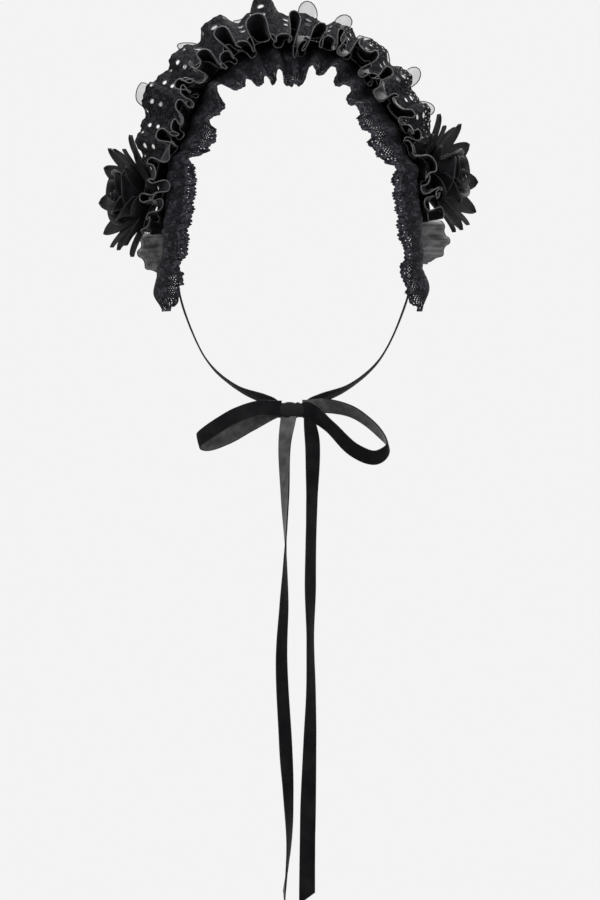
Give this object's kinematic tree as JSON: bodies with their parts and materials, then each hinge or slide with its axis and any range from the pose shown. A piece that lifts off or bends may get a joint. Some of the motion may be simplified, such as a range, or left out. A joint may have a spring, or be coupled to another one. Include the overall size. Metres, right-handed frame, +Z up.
{
  "type": "ruffled headdress",
  "caption": "Ruffled cloth headband with standing and falling lace, a cloth flower over each ear and velvet ribbons tied in a bow under the chin.",
  "frame": {"origin": "middle of the band's underside at the top of the crown, where it sits on the head", "axes": "+Z up as worn, the wearer's face looks along -Y, +X to the right of someone looking at the face"},
  "size_m": [0.254, 0.1487, 0.5903],
  "materials": {
    "cloth": "matt black woven cotton and felt",
    "lace": "black scalloped lace",
    "satin": "black satin with a rolled hem",
    "eyelet": "black lace with stitched eyelets",
    "organza": "sheer black organza with a cord hem",
    "petal": "matt black petal cloth",
    "rose": "black satin petals with a soft sheen",
    "velvet": "black velvet ribbon with a dark grey satin back"
  },
  "bodies": {
    "root": {"band": "cloth", "front_lace": "lace", "satin_frill": "satin", "eyelet_lace": "eyelet", "sheer_frill": "organza", "calyx_left": "cloth", "outer_leaves_left": "petal", "inner_leaves_left": "petal", "rose_outer_left": "rose", "rose_inner_left": "rose", "rose_bud_left": "rose", "ribbon_left": "velvet", "calyx_right": "cloth", "outer_leaves_right": "petal", "inner_leaves_right": "petal", "rose_outer_right": "rose", "rose_inner_right": "rose", "rose_bud_right": "rose", "ribbon_right": "velvet", "bow_loop_left": "velvet", "bow_loop_right": "velvet", "tail_left": "velvet", "tail_right": "velvet", "bow_knot": "velvet"}
  },
  "joints": []
}
